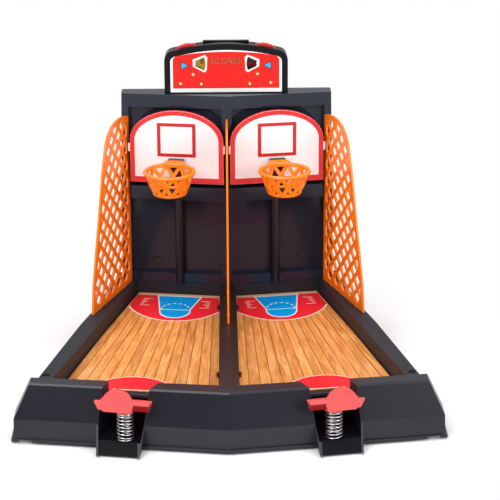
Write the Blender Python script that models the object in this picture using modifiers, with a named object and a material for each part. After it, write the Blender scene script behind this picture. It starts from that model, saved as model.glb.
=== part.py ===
"""Two-lane basketball hoop machine: a free-standing arcade toy, one closed body per sub-part.

All dimensions are millimetres here and are written to the meshes in metres.  The machine stands on
its feet at z = 0, the player is on the -Y side and the middle of its footprint is the origin.
"""
import math

import bmesh
import bpy
from mathutils import Matrix, Vector

MM = 0.001
GAP = 0.3                    # clearance between pieces that touch
WALL = 2.0                   # moulded wall thickness

# plan: the two lanes open outward from the centre line like a shallow V
TURN = math.radians(8.7)     # angle of each half of the front and of the back cabinet
RISE = math.tan(TURN)

# base
FLANGE_HALF = 170.0          # half of the overall width
FLANGE_FRONT = -146.6        # foremost line of the foot flange on the centre line
FLANGE_LOW = 1.4
FLANGE_TOP = 4.6
FACE_HALF = 167.8
FACE_FRONT = -144.2
FACE_TOP = 19.7              # where the upright front face turns into the slope
LEDGE_HALF = 154.5
LEDGE_FRONT = -134.4
LEDGE_BACK = -120.6
LEDGE_BACK_RISE = 0.134
LEDGE_Z = 47.0
RAIL_Z = 42.0
BASE_BACK = 154.4
SEAM_FOOT = 3.5              # the inner seam walls stop above the cover plate
SEAM_HALF = 164.0
FLOOR_FRONT = 26.4           # court floor height at FLOOR_Y0, it climbs to the back
FLOOR_Y0 = -110.0
FLOOR_SLOPE = 3.5 / 235.0
RAIL_OUT = ((151.0, -96.0), (123.9, 25.3), (116.0, 55.0), (97.5, 130.0))
RAIL_IN = ((141.5, -101.0), (105.7, 36.0), (80.5, 132.2))
SKIRT = 15.5                 # how far the foot of the side wall stands outside the rail edge
MAT_T = 1.0
MAT_FRONT = -86.0
DIVIDER_BACK = 6.5           # half widths of the wall between the lanes
DIVIDER_FRONT = 7.5

# launcher wells and levers
NOTCH = ((52.5, -96.0), (55.3, -114.0), (66.8, -135.0), (70.9, -156.0),
         (100.8, -156.0), (101.4, -129.0), (95.0, -113.0), (90.5, -96.0))
WELL_TIP = ((69.2, -154.2), (102.6, -148.9))
WELL_ROOT = ((65.4, -133.0), (103.4, -127.0))
WELL_FLOOR = 9.8             # floor and front lip of a well
GUSSET = 1.8                 # thickness of a well's side gussets
PANEL_SINK = 2.4             # the well's front panel lies this far behind its side gussets
LEVER_TURN = math.radians(12.0)
PIVOT = (75.5, -97.0, 21.5)
PIN_R = 1.5
PRESS_DEG = 18.0
DISC_R = 12.4                # round finger disc
SPRING_R = 6.4
WIRE_R = 0.45
SPRING_AT = (-3.0, -38.0)    # in the lever's own frame
SPRING_LOW = WELL_FLOOR + GAP
SPRING_HIGH = 32.2

# cabinet
CAB_FRONT = 119.9
CAB_BACK = 147.6
CAB_LOW = RAIL_Z + GAP
CAB_TOP = 213.0
CAB_HALF_LOW = 93.4
CAB_HALF_TOP = 90.4
LOW_PANEL = (50.5, 120.0)
HIGH_PANEL = (132.0, 201.5)
PANEL_IN = 6.0
BEAM_OUT = 5.0
BEAM_HALF = 83.5
POLE_HALF = 3.8

# backboards and hoops, along the turned cabinet front
BOARD_AT = 42.4
BOARD_HALF = 40.6
BOARD_LOW = 136.8
BOARD_SIDE = 174.5
BOARD_TOP = 201.2
BOARD_T = 3.0
BOARD_OUT = 9.0
HOOP_OUT = 35.7
RIM_Z = 157.5
RIM_R = 21.0
RIM_WIRE = 1.6
BASKET_DROP = 18.4
BASKET_R = 13.8
CELLS = 10
LATTICE = 1.55               # half width of the basket's bars
LUG = (1.8, 1.2, 164.0, 171.0)   # board side lugs: outer and inner length, low, high

# side and centre nets
NET_T = 1.6
NET_OUTLINE = ((0.0, 0.0), (0.0, 151.0), (8.0, 153.2), (20.0, 154.3), (30.0, 153.5), (38.5, 151.0),
               (47.0, 145.5), (52.5, 138.0), (55.8, 129.0), (60.0, 117.0), (66.0, 95.5),
               (72.5, 72.5), (79.5, 49.5), (86.6, 23.5), (89.8, 0.0))
NET_BORDER = 4.2
NET_FOOT = RAIL_Z + GAP
SIDE_NET = ((85.4, 131.6), (115.0, 47.0))
SLOT_HALF = 5.5              # half diagonal of a diamond hole
SLOT_STEP = 15.3             # pitch of the lattice, both ways
SLOT_START = (14.6, 9.0)
PEG_U = (18.0, 74.0)         # pegs under a net's foot, measured from the cabinet

# scoreboard
HEAD_HALF = 53.0
HEAD_LOW = CAB_TOP + GAP
HEAD_SIDE = 241.0            # where the straight sides turn into the rounded corners
HEAD_CORNER = 8.5
HEAD_ARC_R = 180.0
HEAD_TOP = 256.0
KEY = (19.8, 0.6, 4.0)       # flat key on the back edge of the top: half width, height, depth
HEAD_FRONT = 132.5
HEAD_MID = 139.2
HEAD_BACK = 146.0
HEAD_WALL = 1.8
PANEL_HALF = 47.8
DIAL_AT = (31.5, 239.0)
DIAL_R = 16.6
DIAL_T = 3.0
WINDOW = (5.5, 14.0, 25.0)   # score window: inner and outer radius about the dial, half angle

COLOURS = {
    "black": ((0.022, 0.022, 0.026), 0.38, 0.0),
    "orange": ((0.95, 0.20, 0.01), 0.4, 0.0),
    "red": ((0.80, 0.02, 0.015), 0.25, 0.0),
    "board": ((0.90, 0.90, 0.88), 0.35, 0.0),
    "wood": ((0.62, 0.30, 0.11), 0.45, 0.0),
    "steel": ((0.75, 0.75, 0.76), 0.2, 1.0),
    "rubber": ((0.02, 0.02, 0.02), 0.9, 0.0),
    "panel": ((0.80, 0.03, 0.02), 0.4, 0.0),
}


def clear_scene():
    for obj in list(bpy.data.objects):
        bpy.data.objects.remove(obj, do_unlink=True)


def collection(name):
    made = bpy.data.collections.new(name)
    bpy.context.scene.collection.children.link(made)
    return made


def material(kind, name):
    colour, rough, metal = COLOURS[kind]
    made = bpy.data.materials.new(name)
    made.use_nodes = True
    shader = made.node_tree.nodes["Principled BSDF"]
    shader.inputs["Base Color"].default_value = (*colour, 1.0)
    shader.inputs["Roughness"].default_value = rough
    shader.inputs["Metallic"].default_value = metal
    made.diffuse_color = (*colour, 1.0)
    return made


def obj_from(bm, name, where):
    bmesh.ops.recalc_face_normals(bm, faces=bm.faces)
    mesh = bpy.data.meshes.new(name)
    bm.to_mesh(mesh)
    bm.free()
    obj = bpy.data.objects.new(name, mesh)
    where.objects.link(obj)
    return obj


def ring_body(rings):
    """Closed body through rings of equal length, the first and last ring capped."""
    bm = bmesh.new()
    rows = [[bm.verts.new(Vector(p) * MM) for p in ring] for ring in rings]
    count = len(rows[0])
    for low, high in zip(rows, rows[1:]):
        for i in range(count):
            j = (i + 1) % count
            bm.faces.new((low[i], low[j], high[j], high[i]))
    bm.faces.new(rows[0][::-1])
    bm.faces.new(rows[-1])
    return bm


def extruded(outline, shift):
    """One flat outline of 3-D points, extruded by a vector into a closed body."""
    bm = bmesh.new()
    face = bm.faces.new([bm.verts.new(Vector(p) * MM) for p in outline])
    made = bmesh.ops.extrude_face_region(bm, geom=[face])
    tops = [v for v in made["geom"] if isinstance(v, bmesh.types.BMVert)]
    bmesh.ops.translate(bm, vec=Vector(shift) * MM, verts=tops)
    return bm


def prism(points, low, high):
    """Upright prism over a plan polygon; low and high are heights or functions of (x, y)."""
    if not callable(low) and not callable(high):
        return extruded([(x, y, low) for x, y in points], (0.0, 0.0, high - low))
    low_at = low if callable(low) else (lambda x, y: low)
    high_at = high if callable(high) else (lambda x, y: high)
    return ring_body([[(x, y, low_at(x, y)) for x, y in points],
                      [(x, y, high_at(x, y)) for x, y in points]])


def wall_body(points, front, back):
    """Plate standing upright: an (x, z) outline extruded from y = front to y = back."""
    return extruded([(x, front, z) for x, z in points], (0.0, back - front, 0.0))


def side_body(points, left, right):
    """A (y, z) side profile extruded from x = left to x = right."""
    return extruded([(left, y, z) for y, z in points], (right - left, 0.0, 0.0))


def box(low, high):
    bm = bmesh.new()
    bmesh.ops.create_cube(bm, size=MM)
    size = [b - a for a, b in zip(low, high)]
    middle = [(a + b) / 2 * MM for a, b in zip(low, high)]
    bmesh.ops.scale(bm, vec=size, verts=bm.verts)
    bmesh.ops.translate(bm, vec=middle, verts=bm.verts)
    return bm


def rod(radius, length, at=(0, 0, 0), axis="Z", segments=24, top=None):
    """Cylinder or cone centred on `at` along one axis."""
    bm = bmesh.new()
    bmesh.ops.create_cone(bm, cap_ends=True, segments=segments, radius1=radius * MM,
                          radius2=(radius if top is None else top) * MM, depth=length * MM)
    turn = {"Z": Matrix.Identity(3), "X": Matrix.Rotation(math.pi / 2, 3, "Y"),
            "Y": Matrix.Rotation(math.pi / 2, 3, "X")}[axis]
    bmesh.ops.transform(bm, matrix=Matrix.Translation(Vector(at) * MM) @ turn.to_4x4(), verts=bm.verts)
    return bm


def mirrored(points):
    """Right-hand plan points, front to back, closed into a full outline about x = 0."""
    left = [(-x, y) for x, y in reversed(points) if x > 0]
    return list(points) + left


def boolean(obj, cutter, how):
    mod = obj.modifiers.new("cut", "BOOLEAN")
    mod.operation = how
    mod.solver = "EXACT"
    mod.object = cutter
    depsgraph = bpy.context.evaluated_depsgraph_get()
    mesh = bpy.data.meshes.new_from_object(obj.evaluated_get(depsgraph))
    obj.modifiers.clear()
    old = obj.data
    obj.data = mesh
    bpy.data.meshes.remove(old)


class Shop:
    """Makes bodies, keeps the cutters apart and hands finished nodes their material."""

    def __init__(self):
        self.parts = collection("basketball_hoop_machine")
        self.tools = collection("cutters")
        self.tools.hide_render = True

    def tool(self, bm):
        cutter = obj_from(bm, "cutter", self.tools)
        cutter.hide_render = True
        cutter.display_type = "WIRE"
        return cutter

    def body(self, bm, name):
        return obj_from(bm, name, self.parts)

    def cut(self, obj, *shapes):
        for bm in shapes:
            boolean(obj, self.tool(bm), "DIFFERENCE")

    def join(self, obj, *shapes):
        for bm in shapes:
            boolean(obj, self.tool(bm), "UNION")

    def finish(self, obj, kind, at=None, turn=0.0, bevel=0.0):
        """Tidy the mesh, set the place in millimetres and the piece's own material."""
        bm = bmesh.new()
        bm.from_mesh(obj.data)
        bmesh.ops.remove_doubles(bm, verts=bm.verts, dist=2e-6)
        bmesh.ops.dissolve_degenerate(bm, dist=2e-6, edges=bm.edges)
        bm.to_mesh(obj.data)
        bm.free()
        if bevel:
            mod = obj.modifiers.new("edge", "BEVEL")
            mod.width = bevel * MM
            mod.segments = 1
            mod.limit_method = "ANGLE"
            mod.angle_limit = math.radians(50)
        if at is not None:
            obj.location = Vector(at) * MM
        obj.rotation_euler = (0.0, 0.0, turn)
        obj.data.shade_smooth()
        obj.data.set_sharp_from_angle(angle=math.radians(35))
        obj.data.materials.clear()
        obj.data.materials.append(material(kind, obj.name))
        return obj


def floor_z(x, y):
    return FLOOR_FRONT + (y - FLOOR_Y0) * FLOOR_SLOPE


def front_ring(half, front, rise, z, back=LEDGE_BACK, back_rise=LEDGE_BACK_RISE, inset=0.0):
    """Ring of the front console: chevron front edge, seam with the tray behind."""
    edge = half - inset
    points = [(0.0, front + inset * 1.01), (edge, front + inset * 1.01 + edge * rise),
              (edge, back + edge * back_rise), (0.0, back)]
    return [(x, y, z) for x, y in mirrored(points)]


def slope_at(z):
    """Half width and centre-line front of the console face at height z."""
    t = max(0.0, (z - FACE_TOP) / (LEDGE_Z - FACE_TOP))
    return (FACE_HALF + (LEDGE_HALF - FACE_HALF) * t, FACE_FRONT + (LEDGE_FRONT - FACE_FRONT) * t)


def side_notch(points, side, low, high):
    return prism([(x * side, y) for x, y in points], low, high)


def grown(points, by):
    """Plan polygon pushed outward by a distance, corner by corner."""
    area = sum(a[0] * b[1] - b[0] * a[1] for a, b in zip(points, points[1:] + points[:1]))
    sign = 1.0 if area > 0 else -1.0
    out = []
    for i, here in enumerate(points):
        prev, nxt = points[i - 1], points[(i + 1) % len(points)]
        a = Vector((here[0] - prev[0], here[1] - prev[1])).normalized()
        b = Vector((nxt[0] - here[0], nxt[1] - here[1])).normalized()
        na, nb = Vector((a.y, -a.x)) * sign, Vector((b.y, -b.x)) * sign
        mid = (na + nb).normalized()
        reach = by / max(0.35, mid.dot(na))
        out.append((here[0] + mid.x * reach, here[1] + mid.y * reach))
    return out


def well_face(z, end):
    """Depth of a well's slanted front at a height, at its inner (0) or outer (1) end."""
    t = (z - FLANGE_LOW) / (FACE_TOP - FLANGE_LOW)
    return WELL_TIP[end][1] + (WELL_ROOT[end][1] - WELL_TIP[end][1]) * t


def make_console(shop):
    """Front moulding: flange, upright face, slope, ledge, two launcher notches and wells."""
    rings = [front_ring(FLANGE_HALF, FLANGE_FRONT, RISE, FLANGE_LOW),
             front_ring(FLANGE_HALF, FLANGE_FRONT, RISE, FLANGE_TOP - 0.6),
             front_ring(FACE_HALF + 0.3, FACE_FRONT - 0.3, RISE, FLANGE_TOP),
             front_ring(FACE_HALF, FACE_FRONT, RISE, FACE_TOP),
             front_ring(LEDGE_HALF + 1.2, LEDGE_FRONT - 1.2, RISE, LEDGE_Z - 1.4),
             front_ring(LEDGE_HALF, LEDGE_FRONT, RISE, LEDGE_Z)]
    console = shop.body(ring_body(rings), "front_console")
    for side in (-1, 1):
        tip = [(x * side, y) for x, y in WELL_TIP]
        root = [(x * side, y) for x, y in WELL_ROOT]
        inner = [(x * side * 0.997, y + 14.0) for x, y in WELL_ROOT]
        low = [(*tip[0], FLANGE_LOW), (*tip[1], FLANGE_LOW), (*inner[1], FLANGE_LOW), (*inner[0], FLANGE_LOW)]
        top = [(*root[0], FACE_TOP), (*root[1], FACE_TOP), (*inner[1], FACE_TOP), (*inner[0], FACE_TOP)]
        shop.join(console, ring_body([low, top]))
    half, front = slope_at(LEDGE_Z)
    hollow = shop.tool(ring_body([
        front_ring(FACE_HALF, FACE_FRONT, RISE, FLANGE_LOW - 1, LEDGE_BACK - WALL, inset=WALL),
        front_ring(FACE_HALF, FACE_FRONT, RISE, FACE_TOP - 0.6, LEDGE_BACK - WALL, inset=WALL),
        front_ring(half, front, RISE, LEDGE_Z - WALL, LEDGE_BACK - WALL, inset=WALL + 0.4)]))
    notch = list(NOTCH)
    for side in (-1, 1):
        boolean(hollow, shop.tool(side_notch(grown(notch, WALL), side, -2, 60)), "DIFFERENCE")
    boolean(console, hollow, "DIFFERENCE")
    for side in (-1, 1):
        shop.cut(console, side_notch(notch, side, WELL_FLOOR, 60))
        inset = (WELL_TIP[0][0] + GUSSET, WELL_TIP[1][0] - GUSSET)
        levels = (FLANGE_LOW - 0.5, WELL_FLOOR + 0.5)
        faces = [well_face(z, i) for z in levels for i in (0, 1)]
        panel = [[(inset[0] * side, -165.0, z), (inset[1] * side, -165.0, z),
                  (inset[1] * side, faces[2 * k + 1] + PANEL_SINK, z),
                  (inset[0] * side, faces[2 * k] + PANEL_SINK, z)]
                 for k, z in enumerate(levels)]
        shop.cut(console, ring_body(panel))
        under = [(x * side, y) for x, y in ((73.5, -138.0), (98.5, -133.5), (98.9, -128.5), (94.0, -118.0),
                                            (68.0, -118.0), (70.0, -135.0))]
        shop.cut(console, prism(under, -1.0, WELL_FLOOR - WALL))
    shop.cut(console, box((-SEAM_HALF, -123, -1), (SEAM_HALF, -90, SEAM_FOOT)))
    return shop.finish(console, "black")


def tray_ring(z, out, front=LEDGE_BACK + GAP, back=BASE_BACK):
    """Ring of the court tray pushed `out` beyond the rail edge."""
    pts = [(x + out, y) for x, y in RAIL_OUT]
    first_x = pts[0][0] + (pts[0][0] - pts[1][0]) * 0.05
    points = [(0.0, front), (first_x, front + first_x * LEDGE_BACK_RISE), *pts[1:],
              (pts[-1][0] - 1.0, back - min(out, 4.0) * 0.0), (0.0, back)]
    return [(x, y, z) for x, y in mirrored(points)]


def pocket_plan(grow=0.0, front=-140.0):
    points = [(0.0, front), (RAIL_IN[0][0] + grow + 8.0, front), (RAIL_IN[0][0] + grow, RAIL_IN[0][1]),
              (RAIL_IN[1][0] + grow, RAIL_IN[1][1]), (RAIL_IN[2][0] + grow, RAIL_IN[2][1] + grow),
              (0.0, CAB_FRONT + grow)]
    return mirrored(points)


def make_tray(shop):
    """Rear moulding: court floor, side rails, deck under the cabinet, pivot lugs and bosses."""
    rings = [tray_ring(FLANGE_LOW, SKIRT + 2.4), tray_ring(FLANGE_TOP - 0.6, SKIRT + 2.4),
             tray_ring(FLANGE_TOP, SKIRT + 0.3), tray_ring(FACE_TOP, SKIRT),
             tray_ring(RAIL_Z - 1.2, 1.0), tray_ring(RAIL_Z, 0.0)]
    tray = shop.body(ring_body(rings), "court_tray")
    hollow = shop.tool(ring_body([
        tray_ring(FLANGE_LOW - 1, SKIRT - WALL, LEDGE_BACK + GAP + WALL, BASE_BACK - WALL),
        tray_ring(FACE_TOP - 0.6, SKIRT - WALL, LEDGE_BACK + GAP + WALL, BASE_BACK - WALL),
        tray_ring(RAIL_Z - WALL, -WALL, LEDGE_BACK + GAP + WALL, BASE_BACK - WALL)]))
    boolean(hollow, shop.tool(prism(pocket_plan(WALL), lambda x, y: floor_z(x, y) - WALL, 60)), "DIFFERENCE")
    boolean(tray, hollow, "DIFFERENCE")
    shop.cut(tray, prism(pocket_plan(), floor_z, 60))
    shop.cut(tray, box((-SEAM_HALF, -130, -1), (SEAM_HALF, -90, SEAM_FOOT)))
    for side in (-1, 1):
        turned = [lever_to_plan(x, y, side) for x, y in
                  ((-16.0, 7.0), (16.0, 7.0), (16.0, -26.0), (-16.0, -26.0))]
        shop.cut(tray, prism(turned, -1, 60))
        for lug in (-17.0, 17.0):
            corners = [lever_to_plan(lug + dx, dy, side)
                       for dx, dy in ((-2.4, 5), (2.4, 5), (2.4, -5), (-2.4, -5))]
            shop.join(tray, prism(corners, PIVOT[2] - 5.0, lambda x, y: floor_z(x, y) - 0.5))
        shop.cut(tray, pin_body(side, PIN_R + 0.25, 37.4))
        shop.join(tray, rod(4.2, RAIL_Z - 8.0, (144.4 * side, -83.5, RAIL_Z / 2.0 + 3.0), segments=20))
        shop.cut(tray, rod(3.2, 8.0, (144.4 * side, -83.5, RAIL_Z), segments=20),
                 rod(1.5, 20.0, (144.4 * side, -83.5, RAIL_Z - 10.0), segments=12))
        for u in PEG_U:
            x, y = net_point(u, side)
            shop.cut(tray, rod(1.5, 8.0, (x, y, RAIL_Z), segments=12))
        shop.cut(tray, box((45.0 * side - 10.3, 137.7, RAIL_Z - 6), (45.0 * side + 10.3, 141.3, RAIL_Z + 1)))
    return shop.finish(tray, "black")


def lever_to_plan(x, y, side):
    """Lever frame (x outward along the pin, y to the back) to plan coordinates."""
    c, s = math.cos(LEVER_TURN), math.sin(LEVER_TURN)
    return ((PIVOT[0] + x * c - y * s) * side, PIVOT[1] + x * s + y * c)


def pin_body(side, radius, length):
    bm = rod(radius, length, axis="X", segments=16)
    spin = Matrix.Translation(Vector((PIVOT[0] * side, PIVOT[1], PIVOT[2])) * MM)
    bmesh.ops.transform(bm, matrix=spin @ Matrix.Rotation(LEVER_TURN * side, 4, "Z"), verts=bm.verts)
    return bm


def net_point(u, side):
    """Point on the plan line of a side net, u from the cabinet forward."""
    (x0, y0), (x1, y1) = SIDE_NET
    length = math.hypot(x1 - x0, y1 - y0)
    return ((x0 + (x1 - x0) * u / length) * side, y0 + (y1 - y0) * u / length)


def make_cover(shop):
    """Flat plate closing the base from below, with its screws and the four rubber feet."""
    outline = [(0.0, FACE_FRONT + 5.0), (FACE_HALF - 4.5, FACE_FRONT + 5.0 + (FACE_HALF - 4.5) * RISE),
               (FACE_HALF - 4.5, -96.0), (RAIL_OUT[1][0] + 10.5, RAIL_OUT[1][1]),
               (RAIL_OUT[2][0] + 10.5, RAIL_OUT[2][1]), (RAIL_OUT[3][0] + 10.5, 132.0),
               (RAIL_OUT[3][0] + 8.5, BASE_BACK - 3.5), (0.0, BASE_BACK - 3.5)]
    cover = shop.body(prism(mirrored(outline), FLANGE_LOW, FLANGE_LOW + 1.6), "bottom_cover")
    for side in (-1, 1):
        window = [(x * side, y)
                  for x, y in ((48.0, -153.0), (107.0, -153.0), (107.0, -105.0), (48.0, -105.0))]
        shop.cut(cover, prism(window, 0, 9))
    shop.finish(cover, "black")
    spots = ((142.0, -110.0), (96.0, 132.0))
    for side, word in ((-1, "left"), (1, "right")):
        for (x, y), end in zip(spots, ("front", "back")):
            foot = shop.body(rod(6.5, FLANGE_LOW - GAP, (0, 0, (FLANGE_LOW - GAP) / 2)), f"foot_{end}_{word}")
            shop.finish(foot, "rubber", at=(x * side, y, 0))


def make_court(shop):
    """Court cards of both lanes, the wall between the lanes and the four clips beside it."""
    for side, word in ((-1, "left"), (1, "right")):
        edge = GAP + 0.5
        lane = [(DIVIDER_FRONT + edge, MAT_FRONT - 22.0), (54.5, MAT_FRONT - 22.0 + 6.0), (57.8, MAT_FRONT),
                (91.0, MAT_FRONT + 5.0), (92.5, MAT_FRONT - 13.0), (139.5 - edge, -98.0),
                (RAIL_IN[1][0] - edge, RAIL_IN[1][1]),
                (RAIL_IN[2][0] - 2.0, CAB_FRONT + (RAIL_IN[2][0] - 2.0) * RISE - 0.8),
                (DIVIDER_BACK + edge, CAB_FRONT + DIVIDER_BACK * RISE - 0.8)]
        plan = [(x * side, y) for x, y in lane]
        mat = shop.body(prism(plan, lambda x, y: floor_z(x, y) + GAP,
                              lambda x, y: floor_z(x, y) + GAP + MAT_T), f"court_{word}")
        shop.finish(mat, "wood")
        for y, end in ((-58.0, "front"), (88.0, "back")):
            half = DIVIDER_FRONT + (DIVIDER_BACK - DIVIDER_FRONT) * (y + 120.0) / 240.0
            clip = shop.body(rod(2.6, 3.0, segments=20), f"clip_{end}_{word}")
            keep = box((0.0, -4, -3), (4, 4, 3)) if side > 0 else box((-4, -4, -3), (0.0, 4, 3))
            boolean(clip, shop.tool(keep), "INTERSECT")
            z = floor_z(0, y) + GAP * 2 + MAT_T + 1.5
            shop.finish(clip, "black", at=((half + GAP) * side, y, z + 0.1))
    wall = mirrored([(0.0, LEDGE_BACK + GAP * 2), (DIVIDER_FRONT, LEDGE_BACK + 1.2 + GAP * 2),
                     (DIVIDER_BACK, CAB_FRONT + 0.5), (0.0, CAB_FRONT - GAP - 0.1)])
    divider = shop.body(prism(wall, lambda x, y: floor_z(x, y) + GAP, RAIL_Z - 0.2), "centre_divider")
    for u in PEG_U:
        shop.cut(divider, rod(1.5, 8.0, (0, CAB_FRONT - 1.4 - u, RAIL_Z), segments=12))
    shop.finish(divider, "black", bevel=0.5)


def make_lever(shop, side, word):
    """Sprung throwing lever: hub, arm, flared ball tray and the round finger disc."""
    lever = shop.body(rod(4.0, 28.0, axis="X", segments=20), f"launcher_{word}")
    arm = [(0.5, 2.2), (-8.0, 2.2), (-22.0, 9.5), (-36.0, 12.0),
           (-36.0, 14.2), (-22.0, 11.9), (-8.0, 4.4), (0.5, 4.4)]
    shop.join(lever, side_body(arm, -13.0, 13.0))
    tray = [(-22.6, 13.2), (14.5, 13.2), (16.2, 19.4), (-24.1, 19.4)]
    shop.join(lever, wall_body([(x * side, z) for x, z in tray], -44.6, -34.0))
    front = [(-22.6, 14.3), (16.0, 14.6), (18.9, 20.6), (18.9, 21.4), (3.0, 22.4), (-24.8, 23.6)]
    shop.join(lever, wall_body([(x * side, z) for x, z in front], -46.0, -43.6))
    inner = [(-31.0, 15.2), (-38.0, 15.2), (-41.6, 20.0), (-41.6, 25.0), (-31.0, 25.0)]
    shop.cut(lever, side_body(inner, *sorted((-20.6 * side, 12.6 * side))))
    recess = [(-50.0, 19.9), (-45.1, 19.9), (-40.9, 12.0), (-50.0, 12.0)]
    shop.cut(lever, side_body(recess, *sorted((-30.0 * side, -3.0 * side))))
    disc = rod(DISC_R, 2.2, axis="Y", segments=40)
    tilt = Matrix.Translation(Vector((0.8 * side, -45.4, 19.2)) * MM)
    tilt @= Matrix.Rotation(math.radians(-12), 4, "X")
    bmesh.ops.transform(disc, matrix=tilt, verts=disc.verts)
    shop.join(lever, disc)
    shop.cut(lever, box((-30.0, -56.0, 0.0), (30.0, -44.4, 13.8)))
    shop.join(lever, rod(SPRING_R + WIRE_R, 4.0, segments=20,
                         at=(SPRING_AT[0] * side, SPRING_AT[1], SPRING_HIGH + GAP - PIVOT[2] + 2.0)))
    shop.cut(lever, rod(PIN_R + 0.3, 60.0, axis="X", segments=16))
    shop.finish(lever, "red", at=(PIVOT[0] * side, PIVOT[1], PIVOT[2]), turn=LEVER_TURN * side)
    pin = shop.body(rod(PIN_R, 37.0, axis="X", segments=16), f"launcher_pin_{word}")
    shop.finish(pin, "steel", at=(PIVOT[0] * side, PIVOT[1], PIVOT[2]), turn=LEVER_TURN * side)


def make_spring(shop, side, word):
    turns, steps = 8.5, 10
    count = int(turns * steps)
    rise = SPRING_HIGH - SPRING_LOW - 2 * WIRE_R
    curve = bpy.data.curves.new(f"spring_{word}", "CURVE")
    curve.dimensions = "3D"
    curve.bevel_depth = WIRE_R * MM
    curve.bevel_resolution = 1
    curve.use_fill_caps = True
    line = curve.splines.new("POLY")
    line.points.add(count)
    for i in range(count + 1):
        a = 2 * math.pi * i / steps
        t = i / count
        z = WIRE_R + rise * min(1.0, max(0.0, (t - 0.07) / 0.86))
        line.points[i].co = (SPRING_R * math.cos(a) * MM, SPRING_R * math.sin(a) * side * MM, z * MM, 1)
    temp = bpy.data.objects.new("coil", curve)
    shop.tools.objects.link(temp)
    mesh = bpy.data.meshes.new_from_object(temp)
    bm = bmesh.new()
    bm.from_mesh(mesh)
    bmesh.ops.remove_doubles(bm, verts=bm.verts, dist=1e-6)
    spring = shop.body(bm, f"spring_{word}")
    x, y = lever_to_plan(SPRING_AT[0], SPRING_AT[1], side)
    shop.finish(spring, "steel", at=(x, y, SPRING_LOW))
    bpy.data.objects.remove(temp, do_unlink=True)


def facade(along, out, side):
    """Plan point at a distance along the turned cabinet front and in front of it."""
    c, s = math.cos(TURN), math.sin(TURN)
    return ((along * c + out * s) * side, CAB_FRONT + along * s - out * c)


def facade_prism(spans, low, high, side):
    """Prism over plan corners given as (along, out) pairs of the turned front."""
    return prism([facade(a, o, side) for a, o in spans], low, high)


def make_cabinet(shop):
    """Upright cabinet: turned front with sunk panels, cross beam, hollow back and its cover."""
    def ring(half, z):
        pts = [(0.0, CAB_FRONT), (half, CAB_FRONT + half * RISE), (half, CAB_BACK), (0.0, CAB_BACK)]
        return [(x, y, z) for x, y in mirrored(pts)]

    cabinet = shop.body(ring_body([ring(CAB_HALF_LOW, CAB_LOW), ring(CAB_HALF_TOP, CAB_TOP)]),
                        "cabinet_shell")
    beam = mirrored([(0.0, CAB_FRONT - BEAM_OUT), (BEAM_HALF, CAB_FRONT + BEAM_HALF * RISE - BEAM_OUT),
                     (BEAM_HALF, CAB_FRONT + BEAM_HALF * RISE + 1.0), (0.0, CAB_FRONT + 1.0)])
    shop.join(cabinet, prism(beam, LOW_PANEL[1], HIGH_PANEL[0]))
    shop.cut(cabinet, box((-NET_T, 90, LOW_PANEL[1] - 1), (NET_T, CAB_FRONT - 0.8, HIGH_PANEL[0] + 1)))
    hollow = mirrored([(0.0, CAB_FRONT + PANEL_IN + WALL + 1.0), (CAB_HALF_TOP - WALL, 142.4),
                       (CAB_HALF_TOP - WALL, 160.0), (0.0, 160.0)])
    shop.cut(cabinet, prism(hollow, CAB_LOW + WALL, CAB_TOP - WALL))
    for side in (-1, 1):
        for low, high in (LOW_PANEL, HIGH_PANEL):
            plan = ((4.5, 9.0), (85.5, 9.0), (85.5, -PANEL_IN), (4.5, -PANEL_IN))
            shop.cut(cabinet, facade_prism(plan, low, high, side))
        for z in (60.0, 190.0):
            shop.join(cabinet, rod(3.6, 14.0, (62.0 * side, CAB_BACK - 7.0, z), axis="Y", segments=16))
            shop.cut(cabinet, rod(1.4, 12.0, (62.0 * side, CAB_BACK - 5.0, z), axis="Y", segments=12))
        shop.join(cabinet, box((45.0 * side - 10, 138, CAB_LOW - 4), (45.0 * side + 10, 141, CAB_LOW + 1)))
        shop.cut(cabinet, box((30.0 * side - 6.3, 135.7, CAB_TOP - 4),
                              (30.0 * side + 6.3, 138.8, CAB_TOP + 1)))
    shop.finish(cabinet, "black")
    cover = shop.body(wall_body([(CAB_HALF_LOW - 0.6, CAB_LOW + 0.4), (CAB_HALF_TOP - 0.6, CAB_TOP - 0.4),
                                 (-CAB_HALF_TOP + 0.6, CAB_TOP - 0.4), (-CAB_HALF_LOW + 0.6, CAB_LOW + 0.4)],
                                CAB_BACK + GAP, CAB_BACK + GAP + 2.2), "cabinet_back")
    for side, word in ((-1, "left"), (1, "right")):
        for z, end in ((60.0, "low"), (190.0, "high")):
            shop.cut(cover, rod(1.7, 9.0, (62.0 * side, CAB_BACK + 1.0, z), axis="Y", segments=12))
            screw(shop, f"back_screw_{end}_{word}", (62.0 * side, CAB_BACK + GAP * 2 + 2.2, z), "Y")
        screw(shop, f"rail_screw_{word}", (144.4 * side, -83.5, RAIL_Z - 4.0 + GAP), "Z")
    shop.finish(cover, "black")


def screw(shop, name, at, axis):
    """Pan-head screw; the shank runs to -Y or -Z from the head's seat at `at`."""
    seat = rod(2.7, 2.0, (0, 0, 1.0), segments=20, top=2.3)
    made = shop.body(seat, name)
    shop.join(made, rod(1.1, 8.0, (0, 0, -3.7), segments=12))
    shop.cut(made, box((-1.9, -0.35, 1.2), (1.9, 0.35, 3)), box((-0.35, -1.9, 1.2), (0.35, 1.9, 3)))
    if axis == "Y":
        made.data.transform(Matrix.Rotation(-math.pi / 2, 4, "X"))
    shop.finish(made, "steel", at=at)


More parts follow.
